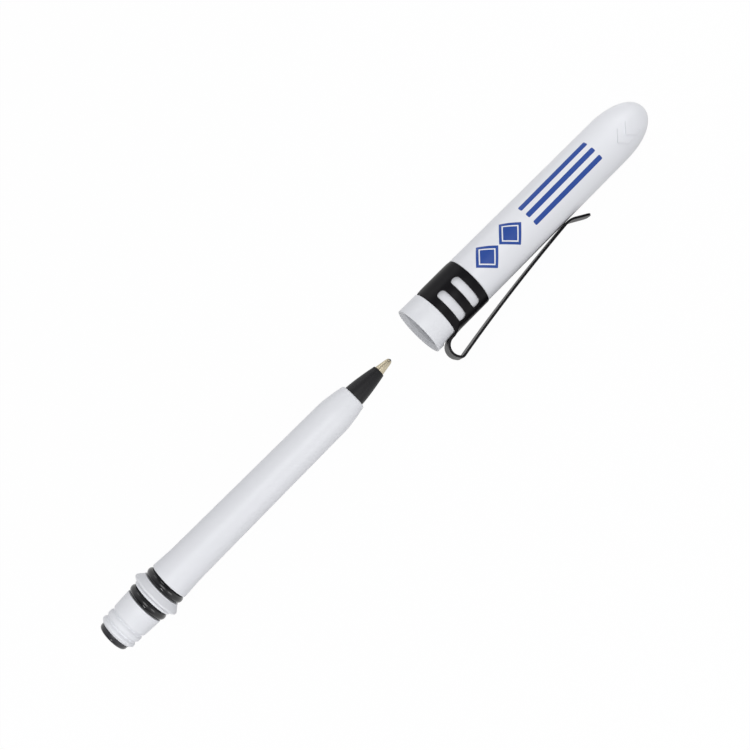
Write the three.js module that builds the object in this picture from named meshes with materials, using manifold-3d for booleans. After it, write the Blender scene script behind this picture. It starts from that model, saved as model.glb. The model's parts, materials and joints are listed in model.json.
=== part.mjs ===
// Pocket pen: a white moulded barrel with its refill, and its cap with a sheet steel clip, pulled off.
// Millimetres. The pen's axis is X, +Z is up, and the origin is the middle of the end plug's flat face.
// The barrel lies with its tip towards +X, and the cap lies ahead of it with its open mouth towards the tip.
import * as THREE from 'three';
import { mergeVertices } from 'three/addons/utils/BufferGeometryUtils.js';
import Module from 'manifold-3d';

// Faces of the turned and bent surfaces
const aroundSides = 36;
const ringSectionSides = 12;
const tipSides = 20;
const curveSteps = 6;
const bandSteps = 44;
const slotEndSteps = 6;
const slotMiddleSteps = 10;
const cornerShares = [0.1, 0.35, 0.65];

// Clearances between pieces
const plugFit = 0.08;
const faceGap = 0.05;
const ringFit = 0.05;
const refillFit = 0.06;
const tubeFit = 0.05;
const ballFit = 0.03;
const clipFit = 0.15;
const elbowGap = 0.06;
const flexGap = 0.35;

// End plug
const plugThickness = 1.4;
const plugRadius = 3.74;
const plugEdgeRound = 0.65;
const plugSpigotLength = 5;

// Tail of the barrel, with the ribs that a finger finds behind the collar
const tailFaceRadius = 4.1;
const tailBevelLength = 0.45;
const ribCount = 2;
const ribPitch = 2.1;
const ribRadius = 4.54;
const ribGrooveDepth = 0.22;
const coneLength = 4.72;
const coneRearRadius = 4.57;
const coneFrontRadius = 4.8;
const coneStartLength = 0.45;
const edgeEase = 0.3;

// Collar of the barrel: an O-ring, the ridge that the cap stops against, and a second O-ring
const ringSection = 2;
const ringOuterRadius = 5.06;
const grooveWidth = 2.2;
const rearShoulderLength = 0.42;
const rearShoulderRadius = 5.03;
const ridgeRiseLength = 0.6;
const ridgeFlatLength = 0.4;
const ridgeRadius = 6.07;
const ridgeFallLength = 1.38;
const frontShoulderLength = 0.1;
const frontShoulderRadius = 4.92;

// Body of the barrel
const landRadius = 4.87;
const landLength = 0.65;
const flareLength = 6.3;
const gripRadius = 4.57;
const gripLength = 43.61;
const gripFrontRadius = 4.24;
const frontTaperLength = 6.7;
const frontFaceRadius = 3.25;
const frontEdgeRound = 0.5;
const boreRadius = 2.3;
const frontBoreRadius = 2;
const frontBoreLength = 8.3;

// Refill
const noseLength = 8;
const noseBaseRadius = 2.65;
const noseTipRadius = 1.48;
const noseBulge = 1.4;
const noseSpigotLength = 9.4;
const inkTubeRadius = 1.7;
const inkTubeBore = 1.2;
const inkTubeLength = 56;
const inkTubeGrip = 4;
const inkPassageRadius = 0.6;
const inkLength = 29;
const greaseLength = 3;
const tipShankRadius = 0.9;
const tipShankLength = 4;
const tipConeRadius = 1.22;
const tipConeLength = 2.87;
const tipConeEndRadius = 0.76;
const lipLength = 0.6;
const lipRadius = 0.58;
const ballRadius = 0.5;
const ballProud = 0.32;
const feedRadius = 0.2;
const feedLength = 0.6;

// Cap
const capStandOff = 8.95;
const capLength = 74.65;
const capMouthRadius = 6.34;
const capDomeRadius = 6.06;
const domeLength = 12;
const domeFullness = 2.2;
const domeWall = 1.3;
const capBoreRadius = 5.2;
const capBoreEndRadius = 4.85;
const sealLength = 6;
const mouthChamfer = 0.9;
const mouthEase = 0.12;

// Clip: a slotted band that grips the cap, a tongue, a bend and the sprung arm
const sheet = 0.55;
const clipProud = 0.1;
const bandStart = 5.6;
const bandWidth = 10.7;
const bandReach = 172;
const bandCornerRadius = 1.8;
const slotWidth = 2.25;
const slotInset = 1.95;
const slotPitch = 4.4;
const slotCount = 2;
const slotFrom = 31;
const slotTo = 120;
const clipWidth = 6.4;
const clipEndWidth = 4.6;
const tongueDistance = 6.26;
const tongueBlend = 3.2;
const bendFront = 1.58;
const bendInnerRadius = 1.6;
const bendOuterRadius = 0.75;
const bendLean = 11;
const bendTop = 11.09;
const pocketEnd = 1.8;
const elbowPlace = 41.6;
const armStartSlope = 9.5;
const armEndSlope = 4.5;
const elbowRadius = 4;
const kickSlope = 29.5;
const kickLength = 4;
const endCornerRadius = 1.2;

const radians = THREE.MathUtils.degToRad;
const wasm = await Module();
wasm.setup();

// Looks
const finishes = {
  whitePlastic: { color: '#e6e6ea', roughness: 0.35, metalness: 0 },
  blackPlastic: { color: '#2e2d31', roughness: 0.35, metalness: 0 },
  blackRubber: { color: '#222225', roughness: 0.6, metalness: 0 },
  blackSteel: { color: '#1f1e22', roughness: 0.4, metalness: 0.6 },
  brass: { color: '#c9b98f', roughness: 0.25, metalness: 1 },
  steel: { color: '#b9bbbe', roughness: 0.15, metalness: 1 },
  clearPlastic: { color: '#dfe3e4', roughness: 0.3, metalness: 0 },
  ink: { color: '#15151c', roughness: 0.5, metalness: 0 },
  grease: { color: '#d8c98a', roughness: 0.4, metalness: 0 },
};

function piece(name, finish, geometry) {
  const mesh = new THREE.Mesh(geometry, new THREE.MeshStandardMaterial(finishes[finish]));
  mesh.name = name;
  return mesh;
}

// Turns every face outwards
function outward(geometry) {
  const bare = geometry.clone();
  bare.deleteAttribute('normal');
  bare.deleteAttribute('uv');
  const closed = mergeVertices(bare, 1e-5);
  const place = closed.attributes.position;
  const index = Array.from(closed.index.array);
  const [a, b, c] = [new THREE.Vector3(), new THREE.Vector3(), new THREE.Vector3()];
  let volume = 0;
  for (let i = 0; i < index.length; i += 3) {
    a.fromBufferAttribute(place, index[i]);
    b.fromBufferAttribute(place, index[i + 1]);
    c.fromBufferAttribute(place, index[i + 2]);
    volume += a.dot(b.cross(c)) / 6;
  }
  const kept = [];
  for (let i = 0; i < index.length; i += 3) {
    const corners = [index[i], index[i + 1], index[i + 2]];
    if (new Set(corners).size < 3) continue;
    kept.push(...(volume < 0 ? corners.reverse() : corners));
  }
  closed.setIndex(kept);
  return closed;
}

// A profile of [x, radius] points turned about X. It starts and ends on the axis, or closes on itself.
function turned(profile, sides = aroundSides) {
  const points = profile.map(([x, radius]) => new THREE.Vector2(radius, x));
  return outward(new THREE.LatheGeometry(points, sides).rotateZ(-Math.PI / 2));
}

// Points of an arc in a profile. Angles are in degrees, from +X towards larger radii.
function arc(x, radius, size, from, to, steps = curveSteps) {
  return Array.from({ length: steps + 1 }, (_, i) => {
    const angle = radians(from + ((to - from) * i) / steps);
    return [x + size * Math.cos(angle), radius + size * Math.sin(angle)];
  });
}

function solid(geometry) {
  const { position } = geometry.attributes;
  return new wasm.Manifold(new wasm.Mesh({
    numProp: 3,
    vertProperties: new Float32Array(position.array),
    triVerts: new Uint32Array(geometry.index.array),
  }));
}

function surface(body) {
  const mesh = body.getMesh();
  const geometry = new THREE.BufferGeometry();
  geometry.setAttribute('position', new THREE.BufferAttribute(new Float32Array(mesh.vertProperties), 3));
  geometry.setIndex(Array.from(mesh.triVerts));
  return geometry;
}

// A bent sheet from rows of { at, normal } points on its middle surface, given a thickness
function bentSheet(rows, thickness) {
  const across = rows[0].length;
  const count = rows.length * across;
  const corners = [1, -1].flatMap((side) => rows.flat().flatMap(({ at, normal }) =>
    at.clone().addScaledVector(normal, (side * thickness) / 2).toArray()));
  const index = [];
  const quad = (a, b, c, d) => index.push(a, b, c, a, c, d);
  for (let i = 0; i + 1 < rows.length; i += 1) {
    for (let j = 0; j + 1 < across; j += 1) {
      const k = i * across + j;
      quad(k, k + 1, k + across + 1, k + across);
      quad(count + k, count + k + across, count + k + across + 1, count + k + 1);
    }
    const [left, right] = [i * across, (i + 1) * across - 1];
    quad(left, left + across, count + left + across, count + left);
    quad(right, count + right, count + right + across, right + across);
  }
  const last = count - across;
  for (let j = 0; j + 1 < across; j += 1) {
    quad(j, count + j, count + j + 1, j + 1);
    quad(last + j, last + j + 1, count + last + j + 1, count + last + j);
  }
  const geometry = new THREE.BufferGeometry();
  geometry.setAttribute('position', new THREE.Float32BufferAttribute(corners, 3));
  geometry.setIndex(index);
  return outward(geometry);
}

// Stations along the barrel
const tailX = plugThickness + faceGap;
const ribsStartX = tailX + tailBevelLength - ribPitch / 2;
const coneX = ribsStartX + ribCount * ribPitch;
const rearGrooveX = coneX + coneLength;
const rearShoulderX = rearGrooveX + grooveWidth;
const ridgeFootX = rearShoulderX + rearShoulderLength;
const ridgeX = ridgeFootX + ridgeRiseLength;
const ridgeEndX = ridgeX + ridgeFlatLength;
const frontShoulderX = ridgeEndX + ridgeFallLength;
const frontGrooveX = frontShoulderX + frontShoulderLength;
const landX = frontGrooveX + grooveWidth;
const gripX = landX + landLength + flareLength;
const taperX = gripX + gripLength;
const frontX = taperX + frontTaperLength;
const ringRadius = ringOuterRadius - ringSection / 2;
const grooveFloor = ringRadius - ringSection / 2 - ringFit;

// Stations along the refill
const noseX = frontX + faceGap;
const tipX = noseX + noseLength;
const tipEndX = tipX + tipConeLength;
const ballX = tipEndX + lipLength - ballRadius + ballProud;
const ballFrontX = ballX + ballRadius;
const tubeFrontX = noseX - noseSpigotLength + inkTubeGrip;

function ribs() {
  const points = [];
  for (let rib = 0; rib < ribCount; rib += 1) {
    for (let step = rib === 0 ? curveSteps / 2 : 0; step < curveSteps; step += 1) {
      const share = step / curveSteps;
      const x = ribsStartX + (rib + share) * ribPitch;
      points.push([x, ribRadius - ribGrooveDepth * Math.cos(Math.PI * share) ** 4]);
    }
  }
  return points;
}

function barrel() {
  const boreStepX = frontX - frontBoreLength;
  return turned([
    [tailX, boreRadius],
    [tailX, tailFaceRadius],
    ...ribs(),
    [coneX, ribRadius - ribGrooveDepth],
    [coneX + coneStartLength, coneRearRadius],
    [rearGrooveX - edgeEase, coneFrontRadius],
    [rearGrooveX, coneFrontRadius - edgeEase / 2],
    [rearGrooveX, grooveFloor],
    [rearShoulderX, grooveFloor],
    [rearShoulderX, rearShoulderRadius],
    [ridgeFootX, rearShoulderRadius],
    [ridgeX, ridgeRadius],
    [ridgeEndX, ridgeRadius],
    [frontShoulderX, frontShoulderRadius],
    [frontGrooveX, frontShoulderRadius],
    [frontGrooveX, grooveFloor],
    [landX, grooveFloor],
    [landX, landRadius],
    [landX + landLength, landRadius],
    [gripX - flareLength / 2, gripRadius + (landRadius - gripRadius) / 3],
    [gripX, gripRadius],
    [taperX, gripFrontRadius],
    [taperX + frontTaperLength / 4, gripFrontRadius - (gripFrontRadius - frontFaceRadius) / 8],
    ...arc(frontX - frontEdgeRound, frontFaceRadius - frontEdgeRound, frontEdgeRound, 90, 0, 3),
    [frontX, frontBoreRadius],
    [boreStepX, frontBoreRadius],
    [boreStepX, boreRadius],
    [tailX, boreRadius],
  ]);
}

function oRing(middleX) {
  return turned(arc(middleX, ringRadius, ringSection / 2, 0, 360, ringSectionSides));
}

function endPlug() {
  const spigotRadius = boreRadius - plugFit;
  return turned([
    [0, 0],
    ...arc(plugEdgeRound, plugRadius - plugEdgeRound, plugEdgeRound, 180, 90, 4),
    [plugThickness, plugRadius],
    [plugThickness, spigotRadius],
    [plugThickness + plugSpigotLength, spigotRadius],
    [plugThickness + plugSpigotLength, 0],
  ]);
}

function refillNose() {
  const rearX = noseX - noseSpigotLength;
  const shankBore = tipShankRadius + tubeFit;
  const shankX = tipX - tipShankLength - faceGap;
  const side = Array.from({ length: curveSteps + 1 }, (_, i) => {
    const share = i / curveSteps;
    const radius = noseTipRadius + (noseBaseRadius - noseTipRadius) * (1 - share ** noseBulge);
    return [noseX + share * noseLength, radius];
  });
  return turned([
    [rearX, inkTubeRadius + tubeFit],
    [rearX, frontBoreRadius - refillFit],
    [noseX, frontBoreRadius - refillFit],
    ...side,
    [tipX, shankBore],
    [shankX, shankBore],
    [shankX, inkPassageRadius],
    [tubeFrontX, inkPassageRadius],
    [tubeFrontX, inkTubeRadius + tubeFit],
    [rearX, inkTubeRadius + tubeFit],
  ]);
}

function tipSocket() {
  const seat = ballRadius + ballFit;
  const lipX = tipEndX + lipLength;
  const lipAngle = THREE.MathUtils.radToDeg(Math.acos((lipX - ballX) / seat));
  const feedAngle = 180 - THREE.MathUtils.radToDeg(Math.asin(feedRadius / seat));
  const frontX = tipX + faceGap;
  const feedX = ballX - seat - feedLength;
  return turned([
    [tipX - tipShankLength, inkPassageRadius],
    [tipX - tipShankLength, tipShankRadius],
    [frontX, tipShankRadius],
    [frontX, tipConeRadius],
    [tipEndX, tipConeEndRadius],
    [lipX, lipRadius],
    ...arc(ballX, 0, seat, lipAngle, feedAngle),
    [feedX, feedRadius],
    [feedX, inkPassageRadius - feedRadius],
    [tipX, inkPassageRadius],
    [tipX - tipShankLength, inkPassageRadius],
  ], tipSides);
}

function writingBall() {
  return turned(arc(ballX, 0, ballRadius, 180, 0, 8), tipSides);
}

function tube(fromX, toX, inner, outer, sides = tipSides) {
  return turned([[fromX, inner], [fromX, outer], [toX, outer], [toX, inner], [fromX, inner]], sides);
}

function rod(fromX, toX, radius) {
  return turned([[fromX, 0], [fromX, radius], [toX, radius], [toX, 0]], tipSides);
}

// The cap and its clip are drawn with the mouth at x = 0 and the clip towards -Y
const domeX = capLength - domeLength;
const capRadius = (x) => THREE.MathUtils.lerp(capMouthRadius, capDomeRadius, x / domeX);

function dome(radius, length) {
  const steps = 2 * curveSteps;
  return Array.from({ length: steps + 1 }, (_, i) => {
    const angle = (Math.PI / 2) * (i / steps);
    const power = 2 / domeFullness;
    return [domeX + length * Math.sin(angle) ** power, radius * Math.max(0, Math.cos(angle)) ** power];
  });
}

function capShell() {
  return turned([
    ...dome(capDomeRadius, domeLength).reverse(),
    [mouthEase, capRadius(mouthEase)],
    [0, capMouthRadius - mouthEase],
    [0, capBoreRadius + mouthChamfer],
    [mouthChamfer, capBoreRadius],
    [sealLength, capBoreRadius],
    ...dome(capBoreEndRadius, domeLength - domeWall),
  ]);
}

// The clip's own places, as distances x from the mouth and d from the axis
const bandRadius = capRadius(bandStart) + clipProud - sheet / 2;
const recessFloor = bandRadius - sheet / 2 - clipFit;
const pocketFloor = tongueDistance - sheet / 2 - clipFit;
const bendStart = bendFront + bendInnerRadius;
const clipPoint = (x, d, across) => new THREE.Vector3(x, -d, across);

function recessCutter() {
  const [from, to] = [bandStart - clipFit, bandStart + bandWidth + clipFit];
  const outside = capMouthRadius + 1;
  return tube(from, to, recessFloor, outside, aroundSides);
}

function pocketCutter() {
  const depth = 2;
  const length = bandStart - pocketEnd;
  const box = new THREE.BoxGeometry(length, depth, clipWidth + 2 * clipFit);
  box.translate(pocketEnd + length / 2, -(pocketFloor + depth / 2), 0);
  return outward(box);
}

function cap() {
  return surface(solid(capShell()).subtract(solid(recessCutter())).subtract(solid(pocketCutter())));
}

// A sheet on the band's cylinder. At each angle from the spine, in degrees, halfLength gives half its length.
function wrapped(middleX, halfLength, angles, thickness) {
  const rows = angles.map((degrees) => {
    const angle = radians(degrees);
    const normal = new THREE.Vector3(0, -Math.cos(angle), Math.sin(angle));
    return [-1, 1].map((end) => {
      const at = normal.clone().multiplyScalar(bandRadius);
      at.x = middleX + end * halfLength(degrees);
      return { at, normal };
    });
  });
  return bentSheet(rows, thickness);
}

const degreesAlong = (length) => THREE.MathUtils.radToDeg(length / bandRadius);

// Half the length of a strip whose end is rounded, at a distance from that end
function roundedHalf(half, corner, fromEnd) {
  if (fromEnd >= corner) return half;
  return half - corner + Math.sqrt(Math.max(0, corner ** 2 - (corner - fromEnd) ** 2));
}

// A slot's end starts as a sliver of its width, because a sheet can't start at a point
function slotCutter(middleX, side) {
  const half = slotWidth / 2;
  const [from, to] = [slotFrom, slotTo];
  const endDegrees = degreesAlong(half);
  const angles = [];
  const sliver = 0.03;
  for (let i = 0; i <= slotEndSteps; i += 1) {
    angles.push(from + endDegrees * Math.max(sliver, 1 - Math.cos(((i / slotEndSteps) * Math.PI) / 2)));
  }
  const middleLength = to - from - 2 * endDegrees;
  for (let i = 1; i < slotMiddleSteps; i += 1) {
    angles.push(from + endDegrees + (middleLength * i) / slotMiddleSteps);
  }
  for (let i = slotEndSteps; i >= 0; i -= 1) {
    angles.push(to - endDegrees * Math.max(sliver, 1 - Math.cos(((i / slotEndSteps) * Math.PI) / 2)));
  }
  const halfLength = (degrees) => {
    const fromEnd = Math.min(degrees - from, to - degrees) / endDegrees;
    return roundedHalf(half, half, fromEnd * half);
  };
  return wrapped(middleX, halfLength, angles, 3 * sheet).scale(1, 1, side);
}

function tongue() {
  const rootX = bandStart + sheet;
  const rows = [];
  for (let i = 0; i <= curveSteps; i += 1) {
    const share = i / curveSteps;
    const x = THREE.MathUtils.lerp(rootX + tongueBlend / 2, bendStart + flexGap, share);
    const flatness = THREE.MathUtils.smoothstep(rootX + tongueBlend / 2 - x, 0, tongueBlend);
    const d = THREE.MathUtils.lerp(bandRadius, tongueDistance, flatness);
    const sectionRadius = bandRadius / Math.max(1e-3, 1 - flatness);
    const row = [];
    for (let j = -3; j <= 3; j += 1) {
      const across = (j / 3) * (clipWidth / 2);
      const angle = Math.asin(across / sectionRadius);
      const at = clipPoint(x, d - sectionRadius * (1 - Math.cos(angle)), across);
      row.push({ at, normal: new THREE.Vector3(0, -Math.cos(angle), Math.sin(angle)) });
    }
    rows.push(row);
  }
  return bentSheet(rows, sheet * 0.98);
}

function clipBand() {
  const angles = Array.from({ length: bandSteps + 1 }, (_, i) => bandReach * ((2 * i) / bandSteps - 1));
  const cornerDegrees = degreesAlong(bandCornerRadius);
  for (const share of cornerShares) {
    const degrees = bandReach - share * cornerDegrees;
    angles.push(degrees, -degrees);
  }
  angles.sort((a, b) => a - b);
  const halfLength = (degrees) => roundedHalf(
    bandWidth / 2,
    bandCornerRadius,
    radians(bandReach - Math.abs(degrees)) * bandRadius,
  );
  let band = solid(wrapped(bandStart + bandWidth / 2, halfLength, angles, sheet)).add(solid(tongue()));
  for (let slot = 0; slot < slotCount; slot += 1) {
    const middleX = bandStart + slotInset + slotWidth / 2 + slot * slotPitch;
    for (const side of [1, -1]) band = band.subtract(solid(outward(slotCutter(middleX, side))));
  }
  return surface(band);
}

// The middle line of the bend, whose front leans back, the arm and its turned-out end, as [x, d] points
function armLine() {
  const lean = radians(bendLean);
  const [innerD, topD] = [tongueDistance + bendInnerRadius, bendTop - bendOuterRadius];
  const radiusGain = bendOuterRadius - bendInnerRadius;
  const frontLength = (topD - innerD + radiusGain * Math.sin(lean)) / Math.cos(lean);
  const topX = bendStart + radiusGain * Math.cos(lean) + frontLength * Math.sin(lean);
  const bend = [
    ...arc(bendStart, innerD, bendInnerRadius, 270, 180 - bendLean),
    ...arc(topX, topD, bendOuterRadius, 180 - bendLean, 90 - armStartSlope, 8),
  ];
  const start = new THREE.Vector2(...bend.at(-1));
  const elbow = new THREE.Vector2(elbowPlace, capRadius(elbowPlace) + elbowGap + sheet / 2);
  const [fall, rise] = [Math.tan(radians(armStartSlope)), Math.tan(radians(armEndSlope))];
  const controlX = (start.y - elbow.y + fall * start.x - rise * elbow.x) / (fall - rise);
  const control = new THREE.Vector2(controlX, elbow.y + rise * (elbow.x - controlX));
  const arm = new THREE.QuadraticBezierCurve(start, control, elbow).getPoints(10).slice(1);
  const turnX = elbow.x + elbowRadius * Math.sin(radians(armEndSlope));
  const turnD = elbow.y + elbowRadius * Math.cos(radians(armEndSlope));
  const turn = arc(turnX, turnD, elbowRadius, 270 - armEndSlope, 270 + kickSlope, 5);
  const [x, d] = turn.at(-1);
  const kick = [0.25, 0.5, 0.75, 0.9, 1].map((share) => [
    x + share * kickLength * Math.cos(radians(kickSlope)),
    d + share * kickLength * Math.sin(radians(kickSlope)),
  ]);
  return [...bend, ...arm.map((p) => [p.x, p.y]), ...turn.slice(1), ...kick];
}

function clipArm() {
  const line = armLine();
  const lengths = [0];
  for (let i = 1; i < line.length; i += 1) {
    lengths.push(lengths[i - 1] + Math.hypot(line[i][0] - line[i - 1][0], line[i][1] - line[i - 1][1]));
  }
  const whole = lengths.at(-1);
  const rows = line.map(([x, d], i) => {
    const before = line[Math.max(0, i - 1)];
    const after = line[Math.min(line.length - 1, i + 1)];
    const normal = clipPoint(-(after[1] - before[1]), after[0] - before[0], 0).normalize();
    const width = THREE.MathUtils.lerp(clipWidth, clipEndWidth, lengths[i] / whole);
    const half = roundedHalf(width / 2, endCornerRadius, whole - lengths[i]);
    return [-1, 1].map((edge) => ({ at: clipPoint(x, d, edge * half), normal }));
  });
  return bentSheet(rows, sheet);
}

// The pen lies on its collar and the cap's mouth, with the clip turned down until its bend meets the table
const clipOutside = bendTop + sheet / 2;
const clipDroop = Math.asin(capMouthRadius / Math.hypot(clipOutside, clipWidth / 2))
  - Math.atan(clipWidth / 2 / clipOutside);

const pen = new THREE.Group();
pen.add(
  piece('barrel', 'whitePlastic', barrel()),
  piece('rear_o_ring', 'blackRubber', oRing(rearGrooveX + grooveWidth / 2)),
  piece('front_o_ring', 'blackRubber', oRing(frontGrooveX + grooveWidth / 2)),
  piece('end_plug', 'blackPlastic', endPlug()),
  piece('refill_nose', 'blackPlastic', refillNose()),
  piece('tip_socket', 'brass', tipSocket()),
  piece('writing_ball', 'steel', writingBall()),
);

const tubeEnd = tubeFrontX - faceGap;
const inkX = tubeEnd - faceGap - inkLength;
const greaseX = inkX - faceGap - greaseLength;
const fillRadius = inkTubeBore - tubeFit;
pen.add(
  piece('ink_tube', 'clearPlastic', tube(tubeEnd - inkTubeLength, tubeEnd, inkTubeBore, inkTubeRadius)),
  piece('ink_column', 'ink', rod(inkX, inkX + inkLength, fillRadius)),
  piece('grease_follower', 'grease', rod(greaseX, greaseX + greaseLength, fillRadius)),
);

const capGroup = new THREE.Group();
capGroup.position.x = ballFrontX + capStandOff;
capGroup.rotation.x = clipDroop;
capGroup.add(
  piece('cap', 'whitePlastic', cap()),
  piece('clip_band', 'blackSteel', clipBand()),
  piece('clip_arm', 'blackSteel', clipArm()),
);
pen.add(capGroup);

export default pen;
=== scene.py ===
# Pocket pen, laid down open: its moulded, turned and bent pieces, their finishes, the light and the camera.
# Shapes are drawn in millimetres. The cap's pieces are drawn with the mouth at x = 0 and the clip towards -Y.
import json
import math

import bmesh
import bpy
import numpy as np
from mathutils import Matrix, Vector

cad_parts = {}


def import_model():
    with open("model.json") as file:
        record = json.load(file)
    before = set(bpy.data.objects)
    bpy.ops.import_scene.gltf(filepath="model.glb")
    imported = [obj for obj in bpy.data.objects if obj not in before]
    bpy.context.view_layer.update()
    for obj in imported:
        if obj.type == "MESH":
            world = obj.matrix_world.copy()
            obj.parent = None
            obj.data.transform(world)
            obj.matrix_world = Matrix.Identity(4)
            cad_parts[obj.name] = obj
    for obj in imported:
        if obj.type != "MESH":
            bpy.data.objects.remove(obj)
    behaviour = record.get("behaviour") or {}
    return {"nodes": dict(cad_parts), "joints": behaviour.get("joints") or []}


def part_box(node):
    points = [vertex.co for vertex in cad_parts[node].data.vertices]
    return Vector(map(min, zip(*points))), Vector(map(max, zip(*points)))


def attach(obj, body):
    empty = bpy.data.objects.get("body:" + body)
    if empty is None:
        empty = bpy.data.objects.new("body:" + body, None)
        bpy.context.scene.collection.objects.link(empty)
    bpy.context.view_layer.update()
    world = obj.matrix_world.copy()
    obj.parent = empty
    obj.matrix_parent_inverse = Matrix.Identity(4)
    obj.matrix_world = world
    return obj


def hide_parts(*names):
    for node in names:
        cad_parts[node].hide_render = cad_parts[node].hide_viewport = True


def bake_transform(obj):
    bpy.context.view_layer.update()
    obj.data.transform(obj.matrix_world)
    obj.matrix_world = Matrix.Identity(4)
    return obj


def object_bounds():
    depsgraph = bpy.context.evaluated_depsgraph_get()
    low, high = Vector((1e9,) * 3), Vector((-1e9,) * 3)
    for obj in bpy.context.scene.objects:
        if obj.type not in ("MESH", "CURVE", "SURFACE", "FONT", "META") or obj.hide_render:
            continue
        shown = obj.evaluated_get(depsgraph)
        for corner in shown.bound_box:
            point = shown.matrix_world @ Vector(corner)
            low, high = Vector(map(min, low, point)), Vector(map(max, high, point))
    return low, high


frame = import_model()
frame_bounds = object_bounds()

MM = 0.001
AROUND = 128
FINE_AROUND = 64
ROUND_STEPS = 5
RING_STEPS = 36
CURVE_STEPS = 24
# Angle from which an edge looks sharp, in degrees
CREASE = 35.0
# How nearly a face has to look in a direction to count as facing it
FACING = 0.5
# How close two points, or a point and a cut, may be before they count as one place
WELD_DISTANCE = 1e-5
CUT_DISTANCE = 1e-4


def span(node):
    """The lowest and the highest corner of a node of the frame, in millimetres."""
    return [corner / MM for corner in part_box(node)]


# Where the frame holds the pieces
BARREL_LOW, BARREL_HIGH = span("barrel")
REAR_RING_LOW, REAR_RING_HIGH = span("rear_o_ring")
FRONT_RING_LOW, FRONT_RING_HIGH = span("front_o_ring")
PLUG_HIGH = span("end_plug")[1]
NOSE_LOW, NOSE_HIGH = span("refill_nose")
SOCKET_LOW, SOCKET_HIGH = span("tip_socket")
BALL_LOW, BALL_HIGH = span("writing_ball")
CAP_LOW, CAP_HIGH = span("cap")
FLEX = next(joint for joint in frame["joints"] if joint["name"] == "clip_flex")
CLIP_DROOP = math.atan2(FLEX["axis"][1], -FLEX["axis"][2])
CAP_PLACE = Matrix.Translation((CAP_LOW.x, 0, 0)) @ Matrix.Rotation(CLIP_DROOP, 4, "X")

# Barrel
BORE_RADIUS = 2.3
FRONT_BORE_RADIUS = 2.0
FRONT_BORE_LENGTH = 8.3
TAIL_FACE_RADIUS = 4.1
TAIL_BEVEL_LENGTH = 0.45
TAIL_EDGE_ROUND = 0.12
RIB_COUNT = 2
RIB_PITCH = 1.98
RIB_RADIUS = 4.54
RIB_GROOVE_DEPTH = 0.44
RIB_GROOVE_SHARPNESS = 6
CONE_REAR_RADIUS = 4.57
CONE_START_LENGTH = 0.45
CONE_START_ROUND = 0.4
CONE_FRONT_RADIUS = 4.8
CONE_EDGE_ROUND = 0.15
GROOVE_WIDTH = 2.2
GROOVE_ROUND = 0.1
RING_FIT = 0.05
REAR_SHOULDER_LENGTH = 0.42
REAR_SHOULDER_RADIUS = 5.03
SHOULDER_EDGE_ROUND = 0.06
RIDGE_FOOT_ROUND = 0.12
RIDGE_RISE_LENGTH = 0.6
RIDGE_FLAT_LENGTH = 0.4
RIDGE_EDGE_ROUND = 0.16
FRONT_SHOULDER_LENGTH = 0.1
FRONT_SHOULDER_RADIUS = 4.92
LAND_RADIUS = 4.87
LAND_LENGTH = 0.65
FLARE_LENGTH = 6.3
FLARE_FULLNESS = 1.6
GRIP_RADIUS = 4.57
GRIP_FRONT_RADIUS = 4.24
FRONT_TAPER_LENGTH = 6.7
FRONT_TAPER_FULLNESS = 1.4
FRONT_FACE_RADIUS = 3.25
FRONT_EDGE_ROUND = 0.5
FRONT_BORE_ROUND = 0.1

# End plug and refill
PLUG_THICKNESS = 1.4
PLUG_EDGE_ROUND = 0.65
PLUG_RIM_ROUND = 0.08
SPIGOT_RADIUS = 2.22
SPIGOT_END_ROUND = 0.3
GATE_MARK_RADIUS = 0.7
GATE_MARK_DEPTH = 0.08
GATE_MARK_ROUND = 0.05
NOSE_LENGTH = 8.0
NOSE_BASE_RADIUS = 2.65
NOSE_TIP_RADIUS = 1.48
NOSE_FIT = 0.06
NOSE_BASE_ROUND = 0.07
NOSE_TIP_ROUND = 0.05
NOSE_BULGE = 1.4
NOSE_TUBE_BORE = 1.75
NOSE_TUBE_GRIP = 4.0
INK_PASSAGE_RADIUS = 0.6
TIP_SHANK_RADIUS = 0.9
TIP_SHANK_LENGTH = 4.0
FACE_GAP = 0.05
TIP_CONE_RADIUS = 1.22
TIP_CONE_LENGTH = 2.87
TIP_CONE_END_RADIUS = 0.76
TIP_BASE_ROUND = 0.05
TIP_CONE_END_ROUND = 0.25
TIP_LIP_RADIUS = 0.58
TIP_LIP_ROUND = 0.02
BALL_FIT = 0.03
FEED_RADIUS = 0.2
FEED_LENGTH = 0.6

# Cap
CAP_LENGTH = CAP_HIGH.x - CAP_LOW.x
CAP_MOUTH_RADIUS = 6.34
CAP_DOME_RADIUS = 6.06
DOME_LENGTH = 12.0
DOME_FULLNESS = 2.2
DOME_WALL = 1.3
CAP_BORE_RADIUS = 5.2
CAP_BORE_END_RADIUS = 4.85
SEAL_LENGTH = 6.0
SEAT_EDGE_ROUND = 0.05
SEAT_FLOOR_ROUND = 0.08
MOUTH_CHAMFER = 0.9
MOUTH_EDGE_ROUND = 0.1
CHAMFER_EDGE_ROUND = 0.08
CHAMFER_END_ROUND = 0.3
DOME_X = CAP_LENGTH - DOME_LENGTH

# Raised arrowheads that give the fingers a hold near the dome
ARROW_SETS = 2
ARROWS_IN_SET = 2
ARROW_TURN = 75.2
ARROW_X = 61.95
ARROW_PITCH = 2.75
ARROW_REACH = 2.2
ARROW_WIDTH = 1.3
ARROW_HEIGHT = 0.3
ARROW_ROOT = 0.25
ARROW_EDGE_ROUND = 0.05
ARROW_STEP_ALONG = 0.5
ARROW_STEP_ROUND = 0.4

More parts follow.
